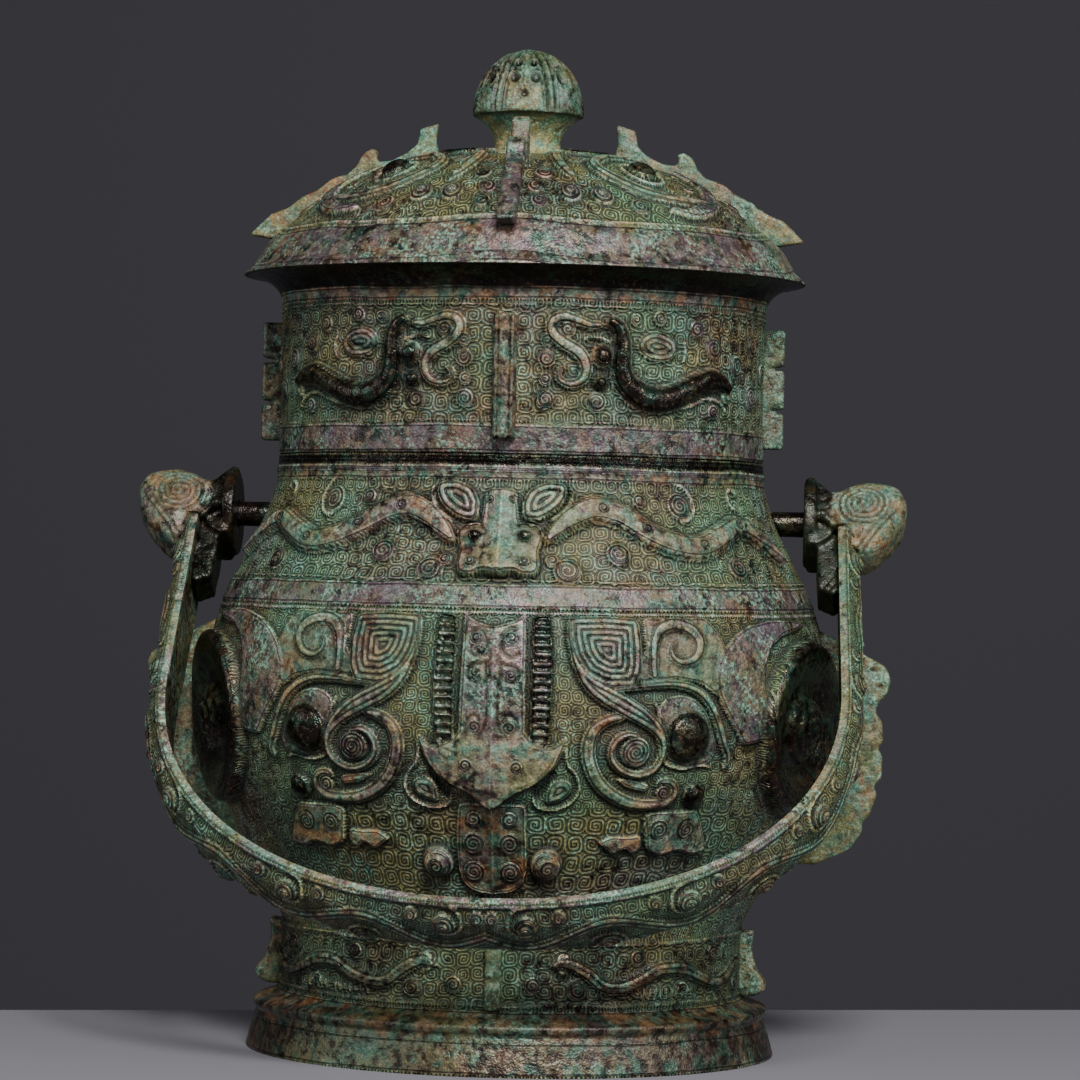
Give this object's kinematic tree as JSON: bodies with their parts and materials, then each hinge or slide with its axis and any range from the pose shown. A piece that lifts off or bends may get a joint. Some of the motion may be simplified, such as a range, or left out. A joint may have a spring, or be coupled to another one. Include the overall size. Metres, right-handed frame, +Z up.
{
  "type": "lidded bronze wine vessel with swing handle",
  "caption": "Oval bronze ritual vessel on a foot ring, with a lift-off lid, flanges, beast-mask relief and a swing handle with beast heads.",
  "frame": {"origin": "on the surface it stands on, under the middle of the whole object's box with the handle forward; the vessel's own axis is at y = 0.0051", "axes": "+Z up, -Y to the front, where the handle hangs, +X towards the handle's right pivot"},
  "size_m": [0.293, 0.2383, 0.379],
  "materials": {
    "vessel_bronze": "dark brown cast bronze under green and blue-green patina, satin on raised parts",
    "lid_bronze": "dark brown cast bronze under green and blue-green patina, satin on raised parts",
    "handle_bronze": "dark brown cast bronze under green and blue-green patina, satin on raised parts"
  },
  "bodies": {
    "vessel_body": {"vessel": "vessel_bronze", "lid": "lid_bronze"},
    "handle_body": {"handle": "handle_bronze"}
  },
  "joints": [
    {"name": "handle_swing", "type": "hinge", "parent": "vessel_body", "child": "handle_body", "pos_m": [0, 0.00509, 0.2006], "axis": [-1, 0, 0], "range_deg": [-0.5, 284.5]}
  ]
}
